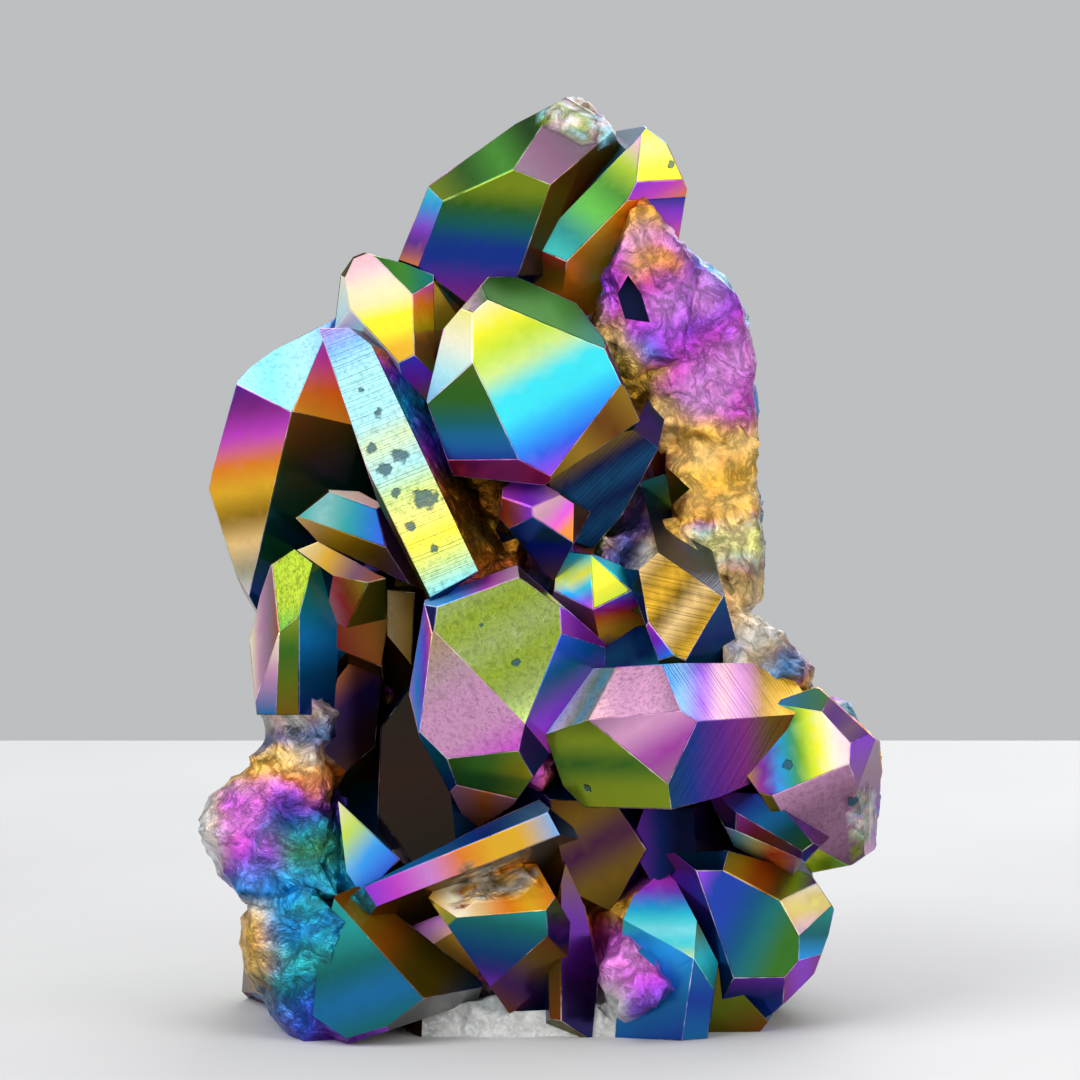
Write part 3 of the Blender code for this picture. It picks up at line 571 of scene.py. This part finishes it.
tone_of = skin.loops.layers.float_color.new("tone")
VALUES = ("film", "pale", "dark", "broken", "etched", "lined", "across")
value_of = {name: skin.loops.layers.float.new(name) for name in VALUES}


def spanned(rows):
    """Each outline with how far it reaches along the way of its colours."""
    done = []
    for outline, angle, words in rows:
        places = [along(p, angle) for p in outline]
        done.append((outline, angle, words, min(places), max(places)))
    return done


def wobble(spot, size, much):
    """Noise at a spot: bumps of about a size, up or down by about so much."""
    return noise.noise(spot / (size * MM)) * much


def moved(place, spot, size, much):
    """A place of the front view, shifted by noise so that a border through it wanders."""
    sway = noise.noise_vector(spot / (size * MM)) * much
    return place[0] + sway.x, place[1] + sway.y


# Rock that lies near the front, or that faces it, follows the outlines above. The rest
# has patches of the whole film.
FRONT_REACH = 8.0 * MM
FRONT_TURN = -0.45
FILM_RUN = "gold orange magenta violet azure teal azure- violet magenta gold- silver+ azure teal"
BARE_RUN = "silver- silver"
spans, chip_spans = spanned(BREAKS), spanned(CHIPPED)
for face in skin.faces:
    number = face[number_of]
    spot = face.calc_center_median()
    place = front(spot)
    is_rough = number in rough
    drift = wobble(spot, 9, 12 * MM) + wobble(spot, 3, 4 * MM)
    faces_us = spot.y + drift < FRONT_REACH or face.normal.y < FRONT_TURN
    near = moved(place, spot, 3.5, 4.5)
    zone = next((z for z in spans if is_rough and faces_us and inside(near, z[0])), None)
    if zone is None:
        zone = next((z for z in spans if is_rough and faces_us and inside(place, z[0])), None)
    bare = is_rough and faces_us and inside(place, BARE)
    face.smooth = is_rough
    angle, words, etched, lined = painted.get(number, (0, "silver", False, None))
    for loop in face.loops:
        corner = loop.vert.co
        here = front(corner)
        torn = 0.0
        if bare:
            tone = toned(BARE_RUN, wobble(corner, 6, 1) + 0.5)
            tone[4] = 1.0
        elif zone:
            share = (along(here, zone[1]) - zone[3]) / (zone[4] - zone[3])
            tone = toned(zone[2], share + wobble(corner, 5, 0.12))
        elif is_rough:
            tone = toned(FILM_RUN, wobble(corner, 30, 0.9) + wobble(corner, 8, 0.18) + 0.5)
        else:
            low, high = reach[number]
            tone = toned(words, (along(here, angle) - low) / max(high - low, 1e-6))
            near = moved(here, corner, 1.6, 1.2)
            seen = face.normal.dot(eye - spot) > 0
            chip = next((c for c in chip_spans if seen and inside(near, c[0])), None)
            if chip:
                share = (along(here, chip[1]) - chip[3]) / (chip[4] - chip[3])
                tone, torn = toned(chip[2], share + wobble(corner, 1.3, 0.6)), 1.0
        loop[tone_of] = (*tone[:3], 1.0)
        loop[value_of["film"]], loop[value_of["pale"]], loop[value_of["dark"]] = tone[3:]
        loop[value_of["broken"]] = max(float(is_rough), torn)
        loop[value_of["etched"]] = float(etched)
        loop[value_of["lined"]] = float(lined is not None)
        loop[value_of["across"]] = along(here, angle if lined is None else lined + 90)

# Over the broken rock the colours run into each other from corner to corner.
RUN_TOGETHER = 2
shown = {}
for face in skin.faces:
    if face[number_of] in rough:
        for loop in face.loops:
            values = [*loop[tone_of][:3]] + [loop[value_of[n]] for n in ("film", "pale", "dark")]
            shown.setdefault(loop.vert, []).append(values)
meet = {c: [sum(v) / len(rows) for v in zip(*rows)] for c, rows in shown.items()}
for _ in range(RUN_TOGETHER):
    mixed = {}
    for corner, own in meet.items():
        others = [meet[o] for o in (e.other_vert(corner) for e in corner.link_edges) if o in meet]
        mixed[corner] = [sum(v) / (len(others) + 1) for v in zip(own, *others)]
    meet = mixed
for face in skin.faces:
    if face[number_of] in rough:
        for loop in face.loops:
            values = meet[loop.vert]
            loop[tone_of] = (*values[:3], 1.0)
            loop[value_of["film"]], loop[value_of["pale"]], loop[value_of["dark"]] = values[3:]
skin.to_mesh(mesh)
skin.free()
crystals = bpy.data.objects.new("crystals", mesh)
bpy.context.scene.collection.objects.link(crystals)


class Wire:
    """A node's output that can be added, multiplied and passed on to other nodes."""

    def __init__(self, tree, socket):
        self.tree = tree
        self.socket = socket

    def node(self, kind, settings=None, out=0, **inputs):
        """Adds any node: its settings first, then the values or wires of its inputs."""
        made = self.tree.nodes.new(kind)
        for name, value in (settings or {}).items():
            setattr(made, name, value)
        for name, value in inputs.items():
            key = int(name[1:]) if name[0] == "i" and name[1:].isdigit() else name.replace("_", " ")
            if isinstance(value, Wire):
                self.tree.links.new(value.socket, made.inputs[key])
            else:
                made.inputs[key].default_value = value
        return Wire(self.tree, made.outputs[out])

    def math(self, operation, one, two=0.0):
        return self.node("ShaderNodeMath", {"operation": operation}, i0=one, i1=two)

    def __add__(self, other):
        return self.math("ADD", self, other)

    def __radd__(self, other):
        return self.math("ADD", other, self)

    def __sub__(self, other):
        return self.math("SUBTRACT", self, other)

    def __rsub__(self, other):
        return self.math("SUBTRACT", other, self)

    def __mul__(self, other):
        return self.math("MULTIPLY", self, other)

    def __rmul__(self, other):
        return self.math("MULTIPLY", other, self)

    def __truediv__(self, other):
        return self.math("DIVIDE", self, other)

    def between(self, low, high):
        """0 where it is under low, 1 where it is over high, and even in between."""
        return self.node("ShaderNodeMapRange", i0=self, i1=low, i2=high)

    def mix(self, one, two):
        """Two colours mixed by this wire."""
        return self.node(
            "ShaderNodeMix", {"data_type": "RGBA"}, out=2, i0=self, i6=one, i7=two
        )


def new_material(name):
    """A Principled material and a wire to start its nodes from."""
    made = bpy.data.materials.new(name)
    made.use_nodes = True
    tree = made.node_tree
    shader = tree.nodes["Principled BSDF"]
    place = tree.nodes.new("ShaderNodeTexCoord")
    return made, tree, shader, Wire(tree, place.outputs["Object"])


# The material: the film's colours over polished faces like metal, with growth lines, pits
# where acid etched them, chips along the edges, and creases on broken rock. Painted shade
# darkens the deep pits and the creases, and painted glints lighten the chips and pale film.
aura, tree, shader, place = new_material("aura_quartz")


PIT_SHADE = (0.01, 0.09, 0.13, 1.0)
RIM_FILM = (0.62, 0.30, 0.66, 1.0)
RIM_PALE = (0.86, 0.74, 0.70, 1.0)
FROST_AND_GLINT = (0.80, 0.86, 0.86, 1.0)


def value(name):
    """A number stored at the corners of the mesh."""
    return place.node("ShaderNodeAttribute", {"attribute_name": name}, out=2)


def grain(size, detail=3.0, distortion=0.0):
    """Noise whose patches are about so many millimetres across."""
    return place.node(
        "ShaderNodeTexNoise", Vector=place, Scale=0.5 / (size * MM), Detail=detail,
        Roughness=0.6, Distortion=distortion
    )


def lines(size, wire):
    """Noise in one direction: lines about so many millimetres apart."""
    return wire.node(
        "ShaderNodeTexNoise", {"noise_dimensions": "1D"}, W=wire * (0.5 / size), Detail=3.0
    )


broken, etched, lined = value("broken"), value("etched"), value("lined")
pale, dark, chip = value("pale"), value("dark"), value("chip")
tone = place.node("ShaderNodeAttribute", {"attribute_name": "tone"}, out=0)
cloud, patch, fleck, dust = grain(16.0), grain(4.0), grain(1.1), grain(0.4, 2.0)
crease = grain(2.3, 6.0, 0.5)
fold = ((crease - 0.5).math("ABSOLUTE", crease - 0.5)) * 6.0
growth = lines(0.5, value("across") + patch * 0.4)

order = value("film") + (crease - 0.5) * 0.34 + (patch - 0.5) * 0.2
ramp = tree.nodes.new("ShaderNodeValToRGB")
tree.links.new(order.socket, ramp.inputs[0])
stops = ramp.color_ramp.elements
for name, at in FILM.items():
    stop = stops[0] if at == 0.0 else stops[-1] if at == 1.0 else stops.new(at)
    stop.color = (*TONES[name], 1.0)
play = Wire(tree, ramp.outputs[0])
play = play.node("ShaderNodeVectorMath", {"operation": "SCALE"}, i0=play, Scale=dark)
colour = (broken * (1.0 - pale) * 0.5 * patch.between(0.40, 0.62)).mix(tone, play)
pits = dust.between(0.58, 0.66) * etched * patch.between(0.30, 0.6)
dents = None
for spot, size in dents_at:
    away = place.node("ShaderNodeVectorMath", {"operation": "DISTANCE"}, 1, i0=place, i1=spot)
    dent = away * (1.0 / (size * MM)) + (fleck - 0.5) * 2.6 + (dust - 0.5) * 1.0
    dent = dent.between(1.15, 0.75)
    dents = dent if dents is None else dents.math("MAXIMUM", dents, dent)
level = (0.86 + (cloud - 0.5) * 0.25 + (fleck - 0.5) * 0.12 + (dust - 0.5) * (0.08 + etched * 1.1))
level = level * (1.0 - pits * 0.4) * (1.0 - lined * growth.between(0.50, 0.66) * 0.5)
crumbly = broken * (1.0 - pale * 0.6)
# Painted shade: darker in the deep pits and in the creases of broken rock.
level = level * (1.0 - dents * 0.65) * (1.0 - crumbly * (1.0 - fold.between(0.0, 0.6)) * 0.62)
level = level * (1.0 + pale * broken * 0.15) * (1.0 + crumbly * (fleck - 0.5) * 0.9)
colour = colour.node("ShaderNodeVectorMath", {"operation": "SCALE"}, i0=colour, Scale=level)
# The floors of the deep pits are painted near black as their shade.
colour = (dents * 0.6).mix(colour, PIT_SHADE)
# Pale lines along the sharp edges: chipped quartz, and a painted highlight along the edge.
chips_and_glint = (chip * 1.45 + (fleck - 0.5) * 2.0 + (patch - 0.5) * 2.0 - 0.9).between(0.0, 0.4)
rim = cloud.between(0.44, 0.54).mix(RIM_FILM, RIM_PALE)
colour = (chips_and_glint * (0.25 + dark * 0.45)).mix(colour, rim)
# White specks: frost on etched faces, and painted glints on pale film.
frost_and_glints = (pale - 0.1).between(0.0, 1.0) * (dust - 0.45) * 1.3
frost_and_glints = (frost_and_glints + etched * (fleck - 0.62) * 0.5).between(0.0, 1.0)
colour = frost_and_glints.mix(colour, FROST_AND_GLINT)
tree.links.new(colour.socket, shader.inputs["Base Color"])
gloss = 0.2 + broken * 0.14 + etched * 0.16 + pale * 0.2 + (cloud - 0.5) * 0.12 + chips_and_glint * 0.2
tree.links.new(gloss.socket, shader.inputs["Roughness"])
metal = 0.5 + (1.0 - dark) * 0.4 + broken * 0.15 - pale * 0.55 - chips_and_glint * 0.3
tree.links.new(metal.socket, shader.inputs["Metallic"])
relief = growth * (0.03 + lined * 0.35) + fold * (broken * (0.95 - pale * 0.75)) - dents * 1.2
relief = relief + fleck * (broken * 0.9 + etched * 0.15) + dust * (broken * 0.15 + etched * 0.5)
relief = relief - pits * 0.2 + cloud * 0.25 - chips_and_glint * 0.15
bump = relief.node("ShaderNodeBump", Strength=0.55, Distance=0.45 * MM, Height=relief)
tree.links.new(bump.socket, shader.inputs["Normal"])
mesh.materials.clear()
mesh.materials.append(aura)
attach(crystals, "root")
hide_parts("crystal_cluster")

# The floor
# A plain pale studio floor, matt and a little mottled, that the stone stands on. It is
# one flat sheet that ends behind the stone.
FLOOR_SIDE = 1.2
FLOOR_BACK = 0.35
FLOOR_FRONT = -1.3
FLOOR_DARK = (0.42, 0.42, 0.43, 1.0)
FLOOR_LIGHT = (0.52, 0.52, 0.52, 1.0)
FLOOR_MATT = 0.7
edge = [(-FLOOR_SIDE, FLOOR_FRONT, 0), (FLOOR_SIDE, FLOOR_FRONT, 0)]
edge += [(FLOOR_SIDE, FLOOR_BACK, 0), (-FLOOR_SIDE, FLOOR_BACK, 0)]
sheet = bpy.data.meshes.new("floor")
sheet.from_pydata(edge, [], [(0, 1, 2, 3)])
floor = bpy.data.objects.new("floor", sheet)
bpy.context.scene.collection.objects.link(floor)
pale_floor, tree, shader, place = new_material("pale_floor")
mottle = place.node("ShaderNodeTexNoise", Vector=place, Scale=9.0, Detail=5.0)
tone = mottle.mix(FLOOR_DARK, FLOOR_LIGHT)
tree.links.new(tone.socket, shader.inputs["Base Color"])
shader.inputs["Roughness"].default_value = FLOOR_MATT
sheet.materials.append(pale_floor)

# Studio light
# A pale room, and five large soft lamps: on both sides, in front, above and behind. All
# of them aim at the middle of the stone.
ROOM_COLOUR = (0.60, 0.61, 0.62, 1.0)
ROOM_STRENGTH = 0.85
AIM = Vector((0, 0, 0.075))
room = bpy.data.worlds.new("room")
room.use_nodes = True
room.node_tree.nodes["Background"].inputs[0].default_value = ROOM_COLOUR
room.node_tree.nodes["Background"].inputs[1].default_value = ROOM_STRENGTH
bpy.context.scene.world = room
LAMPS = [
    # name, place, size, watts
    ("key", (-0.85, -0.65, 1.00), 1.1, 17.0),
    ("fill", (1.00, -0.75, 0.55), 1.0, 9.0),
    ("front", (0.1, -1.3, 0.16), 0.9, 4.0),
    ("top", (0.1, 0.2, 1.1), 0.8, 5.0),
    ("behind", (0.3, 1.0, 0.6), 0.8, 6.0),
]
for name, where, size, watts in LAMPS:
    lamp = bpy.data.lights.new(name, "AREA")
    lamp.size = size
    lamp.energy = watts
    stand = bpy.data.objects.new(name, lamp)
    turned = (AIM - Vector(where)).to_track_quat("-Z", "Y").to_matrix().to_4x4()
    stand.matrix_world = Matrix.Translation(where) @ turned
    bpy.context.scene.collection.objects.link(stand)
bpy.context.scene.view_settings.view_transform = "Standard"
